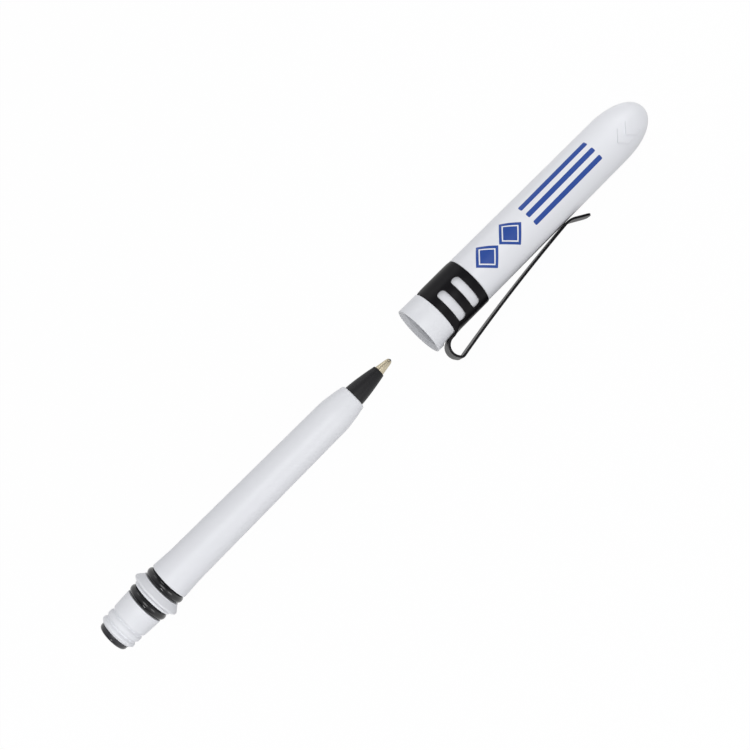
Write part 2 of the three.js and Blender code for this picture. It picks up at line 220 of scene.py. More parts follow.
# Clip
SHEET = 0.55
SHEET_EDGE_ROUND = 0.03
CLIP_PROUD = 0.1
CLIP_FIT = 0.15
TONGUE_FIT = 0.05
BAND_START = 5.6
BAND_WIDTH = 10.7
BAND_REACH = 172.0
BAND_CORNER_RADIUS = 1.8
BAND_ROOT_RADIUS = 0.8
SLOT_WIDTH = 2.25
SLOT_END_FULLNESS = 0.96
SLOT_INSET = 1.95
SLOT_PITCH = 4.4
SLOT_COUNT = 2
SLOT_FROM = 31.0
SLOT_TO = 120.0
CLIP_WIDTH = 6.4
CLIP_END_WIDTH = 4.6
TONGUE_DISTANCE = 6.26
TONGUE_ROOT = 0.55
TONGUE_BLEND = 3.2
TONGUE_SIDE_BLEND = 1.8
BEND_FRONT = 1.6
BEND_INNER_RADIUS = 2.6
BEND_OUTER_RADIUS = 0.8
BEND_LEAN = 36.0
BEND_TOP = 11.09
POCKET_END = 1.8
POCKET_WALL = 0.02
ELBOW_PLACE = 41.6
ELBOW_GAP = 0.03
ARM_START_SLOPE = 9.5
ARM_END_SLOPE = 4.5
ELBOW_RADIUS = 4.0
KICK_SLOPE = 29.5
KICK_LENGTH = 4.0
CLIP_END_CORNER = 1.2
BAND_STEP = 0.33
TONGUE_STEP = 0.3
BEND_STEP = 0.15
ARM_STEP = 1.5
ELBOW_STEP = 0.2
LINE_NUDGE = 0.05
# The bend flexes between these distances from the axis, taken level with the mouth, on lines that lean
FLEX_START = 8.7
FLEX_END = 11.0
FLEX_SLOPE = 0.14

# Printed decoration: plain stripes and lozenges
PRINT_TURN = 102.3
PRINT_FILM = 0.02
PRINT_STEP = 0.25
STRIPE_COUNT = 3
STRIPE_START = 35.0
STRIPE_LENGTH = 22.0
STRIPE_WIDTH = 1.2
STRIPE_PITCH = 2.4
STRIPE_CORNER = 0.3
LOZENGE_PLACES = (21.9, 29.4)
LOZENGE_HALF = 3.6
LOZENGE_LINE_INSET = 0.9
LOZENGE_LINE_WIDTH = 0.3

# Camera and light
CAMERA_DISTANCE = 237.5
CAMERA_TARGET_X = 81.15
CAMERA_NEAR = 5.0
CAMERA_LEAN = 6.0
CLIP_TILT = 0.3
AXIS_SLANT = 45.01
PHOTO_PIXELS = 750
PIXEL_SIZE = 0.225
SENSOR = 36.0
FLOOR_HALF = 1500.0
FLOOR_GAP = 0.05
ROOM_LIGHT = 0.475
END_DIMMING = 0.64
SIDE_LIGHT = 0.6
FLOOR_GLOW = 1.05
FLOOR_GLOW_SHARE = 0.93


# Colours and materials

def linear(code):
    """An sRGB hex colour as the linear colour that a shader takes."""
    parts = [int(code[i:i + 2], 16) / 255 for i in (0, 2, 4)]
    return (*[p / 12.92 if p <= 0.04045 else ((p + 0.055) / 1.055) ** 2.4 for p in parts], 1.0)


def add_node(tree, kind, inputs=None, **settings):
    """Adds a node. An input takes either a value or the socket that feeds it."""
    made = tree.nodes.new(kind)
    for name, value in settings.items():
        setattr(made, name, value)
    for name, value in (inputs or {}).items():
        if isinstance(value, bpy.types.NodeSocket):
            tree.links.new(value, made.inputs[name])
        else:
            made.inputs[name].default_value = value
    return made


def new_material(name):
    """A material with a Principled shader on its output, and its Object coordinates."""
    material = bpy.data.materials.new(name)
    material.use_nodes = True
    tree = material.node_tree
    tree.nodes.clear()
    shader = add_node(tree, "ShaderNodeBsdfPrincipled")
    add_node(tree, "ShaderNodeOutputMaterial", {"Surface": shader.outputs["BSDF"]})
    place = add_node(tree, "ShaderNodeTexCoord").outputs["Object"]
    return material, tree, shader, place


def grains(size):
    """The noise scale that gives grains of a size in millimetres."""
    return 1 / (size * MM)


def drifting_colour(tree, shader, place, colours, patch):
    """A colour that drifts between two over patches. Gives back the noise that it follows."""
    drift = add_node(tree, "ShaderNodeTexNoise", {"Vector": place, "Scale": grains(patch), "Detail": 2.0})
    tone = add_node(tree, "ShaderNodeMix", {"Factor": drift.outputs["Fac"]}, data_type="RGBA")
    for socket, code in zip(("A", "B"), colours):
        next(s for s in tone.inputs if s.name == socket and s.type == "RGBA").default_value = linear(code)
    tree.links.new(next(s for s in tone.outputs if s.type == "RGBA"), shader.inputs["Base Color"])
    return drift.outputs["Fac"]


def bumps(tree, shader, height, depth):
    """Fine relief of a depth in millimetres."""
    bump = add_node(tree, "ShaderNodeBump", {"Height": height, "Strength": 1.0, "Distance": depth * MM})
    tree.links.new(bump.outputs["Normal"], shader.inputs["Normal"])


def shade(tree, shader, place, colours, patch, roughness, grain, depth, **values):
    """Common finish: a drifting colour, a gloss that drifts with it, and a fine bumpy grain."""
    drift = drifting_colour(tree, shader, place, colours, patch)
    gloss = add_node(tree, "ShaderNodeMapRange", {
        "Value": drift, "To Min": roughness[0], "To Max": roughness[1]})
    tree.links.new(gloss.outputs["Result"], shader.inputs["Roughness"])
    fine = add_node(tree, "ShaderNodeTexNoise", {"Vector": place, "Scale": grains(grain), "Detail": 3.0})
    bumps(tree, shader, fine.outputs["Fac"], depth)
    for name, value in values.items():
        shader.inputs[name].default_value = value


def white_abs():
    """White ABS from a steel mould that was blasted lightly: an even, soft sheen with a very faint grain."""
    material, tree, shader, place = new_material("white_moulded_abs")
    shade(tree, shader, place, ("e9ebee", "ebecf0"),
          patch=14, roughness=(0.36, 0.44), grain=0.35, depth=0.002, IOR=1.53)
    return material


def black_polypropylene():
    """Black polypropylene of the refill's nose: duller than ABS, with faint flow marks."""
    material, tree, shader, place = new_material("black_moulded_polypropylene")
    shade(tree, shader, place, ("161618", "1c1c1e"),
          patch=3, roughness=(0.42, 0.52), grain=0.2, depth=0.003, IOR=1.49)
    shader.inputs["Specular IOR Level"].default_value = 0.3
    return material


def black_abs():
    """Black ABS of the end plug: polished in the mould, so it takes a small clear highlight."""
    material, tree, shader, place = new_material("black_moulded_abs")
    shade(tree, shader, place, ("28282b", "2d2d31"),
          patch=2, roughness=(0.17, 0.22), grain=0.3, depth=0.002, IOR=1.53)
    return material


def nitrile_rubber():
    """Nitrile rubber of the O-rings: pressed in a smooth mould, deep black with a soft oily gloss."""
    material, tree, shader, place = new_material("black_nitrile_rubber")
    shade(tree, shader, place, ("111113", "171719"),
          patch=1.5, roughness=(0.17, 0.23), grain=0.15, depth=0.003, IOR=1.52)
    return material


def turned_brass():
    """Nickelled brass of the tip: pale yellow, with the fine lines of the lathe round the axis."""
    material, tree, shader, place = new_material("turned_nickelled_brass")
    drifting_colour(tree, shader, place, ("bcb299", "c6bda6"), patch=0.8)
    # Real lines are about 0.03 mm apart, which is too fine to show, so these are coarser
    line_width = 0.12
    lines = add_node(tree, "ShaderNodeTexWave", {
        "Vector": place, "Scale": grains(line_width) / math.tau, "Distortion": 0.6, "Detail": 1.0},
        wave_type="BANDS", bands_direction="X")
    bumps(tree, shader, lines.outputs["Fac"], depth=0.004)
    shader.inputs["Metallic"].default_value = 1.0
    shader.inputs["Roughness"].default_value = 0.4
    return material


def carbide():
    """Tungsten carbide of the writing ball: ground grey metal with a film of ink in patches."""
    material, tree, shader, place = new_material("ground_tungsten_carbide")
    shade(tree, shader, place, ("6f7277", "8c8f94"),
          patch=0.3, roughness=(0.12, 0.3), grain=0.08, depth=0.001, Metallic=1.0)
    return material


def coated_steel():
    """Spring steel under a thin black coat: near black face on, and grey at a glancing angle."""
    material, tree, shader, place = new_material("black_coated_spring_steel")
    shade(tree, shader, place, ("0a090c", "0e0d11"),
          patch=2.5, roughness=(0.36, 0.44), grain=0.25, depth=0.003, IOR=1.5)
    shader.inputs["Specular IOR Level"].default_value = 0.13
    return material


def natural_polypropylene():
    """Undyed polypropylene of the ink tube: cloudy and see-through, with a waxy sheen."""
    material, tree, shader, place = new_material("natural_polypropylene")
    shade(tree, shader, place, ("e6eaea", "dde2e2"),
          patch=4, roughness=(0.25, 0.35), grain=0.3, depth=0.002, IOR=1.49)
    shader.inputs["Transmission Weight"].default_value = 0.6
    return material


def ballpoint_ink():
    """Ballpoint ink: a thick wet paste, nearly black."""
    material, tree, shader, place = new_material("ballpoint_ink")
    shade(tree, shader, place, ("0c0c14", "12121c"),
          patch=3, roughness=(0.08, 0.16), grain=0.6, depth=0.004, IOR=1.5)
    return material


def follower_grease():
    """Grease that follows the ink: amber, cloudy and wet."""
    material, tree, shader, place = new_material("follower_grease")
    shade(tree, shader, place, ("d3c07e", "dccb92"),
          patch=1.2, roughness=(0.12, 0.24), grain=0.5, depth=0.006, IOR=1.47)
    return material


def pad_print():
    """Blue pad printing ink on the cap: a thin even film, slightly glossier than the plastic."""
    material, tree, shader, place = new_material("blue_pad_printing_ink")
    shade(tree, shader, place, ("20479a", "264c9d"),
          patch=5, roughness=(0.3, 0.36), grain=0.25, depth=0.002, IOR=1.45)
    return material


# Shaping

def arc(x, y, radius, start, stop, steps):
    """Points of an arc in a drawing plane, with angles in degrees from its first axis."""
    angles = [math.radians(start + (stop - start) * i / steps) for i in range(steps + 1)]
    return [(x + radius * math.cos(a), y + radius * math.sin(a)) for a in angles]


def rounded(corners):
    """The points of an outline whose corners are (x, y) when sharp, and (x, y, radius) when round."""
    points = []
    for i, (x, y, *size) in enumerate(corners):
        here = Vector((x, y))
        if not size:
            points.append(here)
            continue
        radius = size[0]
        back = (Vector(corners[i - 1][:2]) - here).normalized()
        ahead = (Vector(corners[(i + 1) % len(corners)][:2]) - here).normalized()
        half = back.angle(ahead) / 2
        centre = here + (back + ahead).normalized() * (radius / math.sin(half))
        first = here + back * (radius / math.tan(half)) - centre
        last = here + ahead * (radius / math.tan(half)) - centre
        shares = [k / ROUND_STEPS for k in range(ROUND_STEPS + 1)]
        points += [centre + first.slerp(last, share) * radius for share in shares]
    return points


def turned(points, steps=AROUND):
    """A shape turned about X from (x, radius) points that start and end on the axis, or form a ring."""
    bm = bmesh.new()
    corners = [bm.verts.new((x, radius, 0)) for x, radius in points]
    for first, second in zip(corners, corners[1:]):
        bm.edges.new((first, second))
    if points[0][1] > 0:
        bm.edges.new((corners[-1], corners[0]))
    bmesh.ops.spin(bm, geom=bm.verts[:] + bm.edges[:], cent=(0, 0, 0), axis=(1, 0, 0),
                   angle=math.tau, steps=steps, use_merge=True)
    bmesh.ops.remove_doubles(bm, verts=bm.verts, dist=WELD_DISTANCE)
    bmesh.ops.recalc_face_normals(bm, faces=bm.faces)
    return bm


def flat_sheet(outline, holes, thickness, edge_round):
    """A flat sheet with holes, lying in the drawing plane, with its edges rounded over."""
    curve = bpy.data.curves.new("outline", "CURVE")
    curve.dimensions = "2D"
    curve.fill_mode = "BOTH"
    curve.extrude = thickness / 2 - edge_round
    curve.bevel_depth = edge_round
    curve.bevel_resolution = 2
    curve.offset = -edge_round
    for points in (outline, *holes):
        spline = curve.splines.new("POLY")
        spline.points.add(len(points) - 1)
        for target, (x, y) in zip(spline.points, points):
            target.co = (x, y, 0, 1)
        spline.use_cyclic_u = True
    holder = bpy.data.objects.new("outline", curve)
    mesh = bpy.data.meshes.new_from_object(holder)
    bm = bmesh.new()
    bm.from_mesh(mesh)
    bmesh.ops.remove_doubles(bm, verts=bm.verts, dist=WELD_DISTANCE)
    bpy.data.objects.remove(holder)
    bpy.data.curves.remove(curve)
    bpy.data.meshes.remove(mesh)
    return bm


def cut_across(bm, axis, places):
    """Cuts a mesh at places along one of its axes, so that it can bend there."""
    normal = Vector.Fill(3, 0)
    normal[axis] = 1
    for place in places:
        bmesh.ops.bisect_plane(bm, geom=bm.verts[:] + bm.edges[:] + bm.faces[:], dist=CUT_DISTANCE,
                               plane_co=normal * place, plane_no=normal)


def steps_between(start, stop, size):
    """Evenly spaced places from start to stop, no further apart than size."""
    count = math.ceil(abs(stop - start) / size)
    return [start + (stop - start) * i / count for i in range(count + 1)]


def finished(name, bm, material, place=Matrix.Identity(4)):
    """The piece itself, in metres and in the frame's place."""
    bmesh.ops.transform(bm, matrix=Matrix.Scale(MM, 4) @ place, verts=bm.verts)
    mesh = bpy.data.meshes.new(name)
    bm.to_mesh(mesh)
    bm.free()
    mesh.shade_smooth()
    mesh.set_sharp_from_angle(angle=math.radians(CREASE))
    mesh.materials.append(material)
    piece = bpy.data.objects.new(name, mesh)
    bpy.context.scene.collection.objects.link(piece)
    return piece


# Barrel and refill

def rib_points():
    """Outline of the finger ribs, from the first crest: flat-topped waves with narrow grooves."""
    start = BARREL_LOW.x + TAIL_BEVEL_LENGTH
    for i in range(CURVE_STEPS * (2 * RIB_COUNT - 1) // 2 + 1):
        turn = i / CURVE_STEPS
        groove = RIB_GROOVE_DEPTH * math.sin(math.pi * turn) ** RIB_GROOVE_SHARPNESS
        yield start + turn * RIB_PITCH, RIB_RADIUS - groove


def flare_points(start, stop):
    """Outline that sweeps down from the land behind the grip to the grip itself."""
    for i in range(1, CURVE_STEPS // 2 + 1):
        share = i / (CURVE_STEPS // 2)
        drop = (LAND_RADIUS - GRIP_RADIUS) * (1 - share) ** FLARE_FULLNESS
        yield start + (stop - start) * share, GRIP_RADIUS + drop


def front_points(start, stop):
    """Outline of the front taper, up to its rounded edge."""
    for i in range(1, CURVE_STEPS // 2):
        share = i / (CURVE_STEPS // 2)
        drop = (GRIP_FRONT_RADIUS - FRONT_FACE_RADIUS) * share ** FRONT_TAPER_FULLNESS
        yield start + (stop - start) * share, GRIP_FRONT_RADIUS - drop


def barrel(material):
    """The white moulding: ribs at the tail, a ridged collar between two ring grooves, and a long grip."""
    tail, front = BARREL_LOW.x, BARREL_HIGH.x
    rear_middle = (REAR_RING_LOW.x + REAR_RING_HIGH.x) / 2
    front_middle = (FRONT_RING_LOW.x + FRONT_RING_HIGH.x) / 2
    floor = REAR_RING_HIGH.z - (REAR_RING_HIGH.x - REAR_RING_LOW.x) - RING_FIT
    rear_groove, rear_shoulder = rear_middle - GROOVE_WIDTH / 2, rear_middle + GROOVE_WIDTH / 2
    front_groove, land = front_middle - GROOVE_WIDTH / 2, front_middle + GROOVE_WIDTH / 2
    ridge_foot = rear_shoulder + REAR_SHOULDER_LENGTH
    ridge = ridge_foot + RIDGE_RISE_LENGTH
    flare = land + LAND_LENGTH
    taper = front - FRONT_TAPER_LENGTH
    ribs = list(rib_points())
    bore_step = front - FRONT_BORE_LENGTH
    outline = rounded([
        (tail, BORE_RADIUS),
        (tail, TAIL_FACE_RADIUS, TAIL_EDGE_ROUND),
        *ribs,
        (ribs[-1][0] + CONE_START_LENGTH, CONE_REAR_RADIUS, CONE_START_ROUND),
        (rear_groove, CONE_FRONT_RADIUS, CONE_EDGE_ROUND),
        (rear_groove, floor, GROOVE_ROUND),
        (rear_shoulder, floor, GROOVE_ROUND),
        (rear_shoulder, REAR_SHOULDER_RADIUS, SHOULDER_EDGE_ROUND),
        (ridge_foot, REAR_SHOULDER_RADIUS, RIDGE_FOOT_ROUND),
        (ridge, BARREL_HIGH.z, RIDGE_EDGE_ROUND),
        (ridge + RIDGE_FLAT_LENGTH, BARREL_HIGH.z, RIDGE_EDGE_ROUND),
        (front_groove - FRONT_SHOULDER_LENGTH, FRONT_SHOULDER_RADIUS, GROOVE_ROUND),
        (front_groove, FRONT_SHOULDER_RADIUS, SHOULDER_EDGE_ROUND),
        (front_groove, floor, GROOVE_ROUND),
        (land, floor, GROOVE_ROUND),
        (land, LAND_RADIUS, GROOVE_ROUND),
        (flare, LAND_RADIUS),
        *flare_points(flare, flare + FLARE_LENGTH),
        (taper, GRIP_FRONT_RADIUS),
        *front_points(taper, front),
        (front, FRONT_FACE_RADIUS, FRONT_EDGE_ROUND),
        (front, FRONT_BORE_RADIUS, FRONT_BORE_ROUND),
        (bore_step, FRONT_BORE_RADIUS),
        (bore_step, BORE_RADIUS),
    ])
    piece = finished("barrel_shell", turned(outline), material)
    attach(piece, "barrel")
    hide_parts("barrel")


def o_ring(name, node, low, high, material):
    """A rubber ring with a round section, relaxed in its groove."""
    section = (high.x - low.x) / 2
    bm = bmesh.new()
    centre = Matrix.Translation(((low.x + high.x) / 2, high.z - section, 0))
    bmesh.ops.create_circle(bm, segments=RING_STEPS, radius=section, matrix=centre)
    bmesh.ops.spin(bm, geom=bm.verts[:] + bm.edges[:], cent=(0, 0, 0), axis=(1, 0, 0),
                   angle=math.tau, steps=AROUND, use_merge=True)
    bmesh.ops.recalc_face_normals(bm, faces=bm.faces)
    piece = finished(name, bm, material)
    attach(piece, "barrel")
    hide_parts(node)


def end_plug(material):
    """The plug, with the round mark of its mould's gate in the middle of the face."""
    outline = rounded([
        (GATE_MARK_DEPTH, 0),
        (GATE_MARK_DEPTH, GATE_MARK_RADIUS, GATE_MARK_ROUND),
        (0, GATE_MARK_RADIUS + GATE_MARK_DEPTH, GATE_MARK_ROUND),
        (0, PLUG_HIGH.z, PLUG_EDGE_ROUND),
        (PLUG_THICKNESS, PLUG_HIGH.z, PLUG_RIM_ROUND),
        (PLUG_THICKNESS, SPIGOT_RADIUS),
        (PLUG_HIGH.x, SPIGOT_RADIUS, SPIGOT_END_ROUND),
        (PLUG_HIGH.x, 0),
    ])
    piece = finished("tail_plug", turned(outline), material)
    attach(piece, "barrel")
    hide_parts("end_plug")


def refill_nose(material):
    """The refill's nose: a slim bulging cone, with a spigot behind it in the bore of the barrel."""
    base = NOSE_HIGH.x - NOSE_LENGTH
    tip = NOSE_HIGH.x
    spigot = NOSE_LOW.x
    shank_bore = TIP_SHANK_RADIUS + FACE_GAP
    shank_end = tip - TIP_SHANK_LENGTH - FACE_GAP
    tube_end = spigot + NOSE_TUBE_GRIP
    drop = NOSE_BASE_RADIUS - NOSE_TIP_RADIUS
    side = [(base + NOSE_LENGTH * i / CURVE_STEPS, NOSE_BASE_RADIUS - drop * (i / CURVE_STEPS) ** NOSE_BULGE)
            for i in range(1, CURVE_STEPS)]
    outline = rounded([
        (spigot, NOSE_TUBE_BORE),
        (spigot, FRONT_BORE_RADIUS - NOSE_FIT),
        (base, FRONT_BORE_RADIUS - NOSE_FIT),
        (base, NOSE_BASE_RADIUS, NOSE_BASE_ROUND),
        *side,
        (tip, NOSE_TIP_RADIUS, NOSE_TIP_ROUND),
        (tip, shank_bore),
        (shank_end, shank_bore),
        (shank_end, INK_PASSAGE_RADIUS),
        (tube_end, INK_PASSAGE_RADIUS),
        (tube_end, NOSE_TUBE_BORE),
    ])
    piece = finished("refill_cone", turned(outline, FINE_AROUND), material)
    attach(piece, "barrel")
    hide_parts("refill_nose")


def tip_socket(material):
    """The metal socket: a turned cone whose lip is rolled over the ball."""
    ball_x = (BALL_LOW.x + BALL_HIGH.x) / 2
    seat = (BALL_HIGH.x - BALL_LOW.x) / 2 + BALL_FIT
    face = SOCKET_LOW.x + TIP_SHANK_LENGTH + FACE_GAP
    cone_end = SOCKET_LOW.x + TIP_SHANK_LENGTH + TIP_CONE_LENGTH
    lip = SOCKET_HIGH.x
    lip_angle = math.degrees(math.acos((lip - ball_x) / seat))
    feed_angle = 180 - math.degrees(math.asin(FEED_RADIUS / seat))
    feed = ball_x - seat - FEED_LENGTH
    outline = rounded([
        (SOCKET_LOW.x, INK_PASSAGE_RADIUS),
        (SOCKET_LOW.x, TIP_SHANK_RADIUS),
        (face, TIP_SHANK_RADIUS),
        (face, TIP_CONE_RADIUS, TIP_BASE_ROUND),
        (cone_end, TIP_CONE_END_RADIUS, TIP_CONE_END_ROUND),
        (lip, TIP_LIP_RADIUS, TIP_LIP_ROUND),
        *arc(ball_x, 0, seat, lip_angle, feed_angle, 2 * ROUND_STEPS),
        (feed, FEED_RADIUS),
        (feed, INK_PASSAGE_RADIUS - FEED_RADIUS),
        (face, INK_PASSAGE_RADIUS),
    ])
    piece = finished("tip_cone", turned(outline, FINE_AROUND), material)
    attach(piece, "barrel")
    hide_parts("tip_socket")


def writing_ball(material):
    """The real part is a true ball, so this one is too."""
    centre = (BALL_LOW + BALL_HIGH) / 2
    bm = bmesh.new()
    bmesh.ops.create_icosphere(bm, subdivisions=4, radius=(BALL_HIGH.x - BALL_LOW.x) / 2,
                               matrix=Matrix.Translation((centre.x, 0, 0)))
    piece = finished("point_ball", bm, material)
    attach(piece, "ball")
    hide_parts("writing_ball")


def refill_filling():
    """The ink tube and what it holds keep the frame's own shapes, under finishes of their own."""
    for node, material in (
        ("ink_tube", natural_polypropylene()),
        ("ink_column", ballpoint_ink()),
        ("grease_follower", follower_grease()),
    ):
        materials = frame["nodes"][node].data.materials
        materials.clear()
        materials.append(material)


# Cap

def cap_radius(x):
    """Radius of the cap's outside: a slight taper, then a full dome."""
    if x <= DOME_X:
        return CAP_MOUTH_RADIUS + (CAP_DOME_RADIUS - CAP_MOUTH_RADIUS) * x / DOME_X
    share = min(1, (x - DOME_X) / DOME_LENGTH)
    return CAP_DOME_RADIUS * (1 - share ** DOME_FULLNESS) ** (1 / DOME_FULLNESS)


def dome_points(radius, length):
    """Outline of a dome from its rim to its top."""
    power = 2 / DOME_FULLNESS
    for i in range(2 * CURVE_STEPS + 1):
        angle = math.pi / 2 * i / (2 * CURVE_STEPS)
        fall = max(0, math.cos(angle)) if i < 2 * CURVE_STEPS else 0
        yield DOME_X + length * math.sin(angle) ** power, radius * fall ** power


BAND_RADIUS = cap_radius(BAND_START) + CLIP_PROUD - SHEET / 2
RECESS_FLOOR = BAND_RADIUS - SHEET / 2 - CLIP_FIT
RECESS_START = BAND_START - CLIP_FIT
RECESS_END = BAND_START + BAND_WIDTH + CLIP_FIT
POCKET_FLOOR = TONGUE_DISTANCE - SHEET / 2 - TONGUE_FIT


def cap(material):
    """The shell, with a seat turned all round for the band and a flat that the tongue of the clip lies in."""
    outline = rounded([
        *reversed(list(dome_points(CAP_DOME_RADIUS, DOME_LENGTH))),
        (RECESS_END, cap_radius(RECESS_END), SEAT_EDGE_ROUND),
        (RECESS_END, RECESS_FLOOR, SEAT_FLOOR_ROUND),
        (RECESS_START, RECESS_FLOOR, SEAT_FLOOR_ROUND),
        (RECESS_START, cap_radius(RECESS_START), SEAT_EDGE_ROUND),
        (POCKET_END + POCKET_WALL, cap_radius(POCKET_END)),
        (POCKET_END, cap_radius(POCKET_END)),
        (0, CAP_MOUTH_RADIUS, MOUTH_EDGE_ROUND),
        (0, CAP_BORE_RADIUS + MOUTH_CHAMFER, CHAMFER_EDGE_ROUND),
        (MOUTH_CHAMFER, CAP_BORE_RADIUS, CHAMFER_END_ROUND),
        (SEAL_LENGTH, CAP_BORE_RADIUS),
        *dome_points(CAP_BORE_END_RADIUS, DOME_LENGTH - DOME_WALL),
    ])
    bm = turned(outline)
    # The flat is cut out of the faces on the clip's side, and then pressed down to its floor
    middle = (POCKET_END + BAND_START) / 2
    beside = [face for face in bm.faces
              if POCKET_END < face.calc_center_median().x < RECESS_START and face.normal.y < -FACING
              and face.calc_center_median().length > math.hypot(middle, CAP_BORE_RADIUS)]
    edges = {edge for face in beside for edge in face.edges}
    corners = {vert for face in beside for vert in face.verts}
    floor = Vector((0, -POCKET_FLOOR, 0))
    bmesh.ops.bisect_plane(bm, geom=[*corners, *edges, *beside], dist=CUT_DISTANCE,
                           plane_co=floor, plane_no=(0, -1, 0))
    for vert in bm.verts:
        inside = POCKET_END + POCKET_WALL / 2 < vert.co.x < RECESS_START + POCKET_WALL
        if inside and vert.co.y < -POCKET_FLOOR:
            vert.co.y = -POCKET_FLOOR
    piece = finished("cap_shell", bm, material, CAP_PLACE)
    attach(piece, "cap")
    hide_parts("cap")


def on_cap(x, across, height):
    """The place on the cap's outside for a flat place, across being measured round the cap."""
    radius = cap_radius(x)
    angle = across / cap_radius(min(x, DOME_X))
    return Vector((x, -(radius + height) * math.cos(angle), (radius + height) * math.sin(angle)))


def round_length(degrees):
    """The length round the cap's outside that an angle takes near the dome."""
    return math.radians(degrees) * CAP_DOME_RADIUS


def arrowhead(bm, x, across):
    """The flat top of a low ridge with two arms, which points at the mouth."""
    depth = ARROW_WIDTH * math.sqrt(2)
    for side in (1, -1):
        flat = [(0, 0), (ARROW_REACH, side * ARROW_REACH),
                (ARROW_REACH + depth, side * ARROW_REACH), (depth, 0)]
        bm.faces.new([bm.verts.new((x + u, across + v, ARROW_HEIGHT)) for u, v in flat])


def arrowheads(material):
    """The sets of arrowheads, moulded on with their edges rounded over."""
    bm = bmesh.new()
    for turn in range(ARROW_SETS):
        degrees = ARROW_TURN + 360 / ARROW_SETS * turn
        for i in range(ARROWS_IN_SET):
            arrowhead(bm, ARROW_X + i * ARROW_PITCH, round_length(degrees))
    bmesh.ops.remove_doubles(bm, verts=bm.verts, dist=WELD_DISTANCE)
    bmesh.ops.recalc_face_normals(bm, faces=bm.faces)
    tops = bmesh.ops.extrude_face_region(bm, geom=bm.faces[:])["geom"]
    for vert in (g for g in tops if isinstance(g, bmesh.types.BMVert)):
        vert.co.z = -ARROW_ROOT
    bmesh.ops.recalc_face_normals(bm, faces=bm.faces)
    rims = [edge for edge in bm.edges if all(vert.co.z > 0 for vert in edge.verts)
            and any(abs(face.normal.z) < FACING for face in edge.link_faces)]
    bmesh.ops.bevel(bm, geom=rims, offset=ARROW_EDGE_ROUND, offset_type="OFFSET", affect="EDGES",
                    segments=3, profile=0.5, material=-1)
    low, high = min(v.co.y for v in bm.verts), max(v.co.y for v in bm.verts)
    cut_across(bm, 1, steps_between(low, high, ARROW_STEP_ROUND)[1:-1])
    cut_across(bm, 0, steps_between(ARROW_X, ARROW_X + 2 * ARROW_PITCH, ARROW_STEP_ALONG)[1:-1])
    for vert in bm.verts:
        vert.co = on_cap(*vert.co)
    piece = finished("cap_arrowheads", bm, material, CAP_PLACE)
    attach(piece, "cap")


def printed(name, outline, holes, material):
    """A film of ink that follows the cap."""
    bm = flat_sheet(outline, holes, PRINT_FILM, 0)
    low, high = min(v.co.y for v in bm.verts), max(v.co.y for v in bm.verts)
    cut_across(bm, 1, steps_between(low, high, PRINT_STEP)[1:-1])
    for vert in bm.verts:
        vert.co = on_cap(*vert.co)
    piece = finished(name, bm, material, CAP_PLACE)
    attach(piece, "cap")


def stripes(material):
    """Stripes side by side, along the cap."""
    middle = round_length(PRINT_TURN)
    for i in range(STRIPE_COUNT):
        across = middle + (i - (STRIPE_COUNT - 1) / 2) * STRIPE_PITCH
        half = STRIPE_WIDTH / 2
        end = STRIPE_START + STRIPE_LENGTH
        outline = rounded([
            (STRIPE_START, across - half, STRIPE_CORNER), (end, across - half, STRIPE_CORNER),
            (end, across + half, STRIPE_CORNER), (STRIPE_START, across + half, STRIPE_CORNER)])
        printed(f"printed_stripe_{i + 1}", outline, [], material)


def lozenge(x, across, half):
    """Corners of a square that stands on its corner."""
    return [(x - half, across), (x, across - half), (x + half, across), (x, across + half)]


def lozenges(material):
    """Two lozenges, each with a bare line inside its edge."""
    across = round_length(PRINT_TURN)
    for i, x in enumerate(LOZENGE_PLACES):
        line = LOZENGE_HALF - LOZENGE_LINE_INSET
        printed(f"printed_lozenge_rim_{i + 1}", lozenge(x, across, LOZENGE_HALF),
                [lozenge(x, across, line)], material)
        printed(f"printed_lozenge_{i + 1}", lozenge(x, across, line - LOZENGE_LINE_WIDTH * math.sqrt(2)),
                [], material)


# Clip

BEND_START = BEND_FRONT + BEND_INNER_RADIUS
BAND_HALF_LENGTH = math.radians(BAND_REACH) * BAND_RADIUS
BLEND_END = BAND_START + TONGUE_ROOT + TONGUE_BLEND / 2


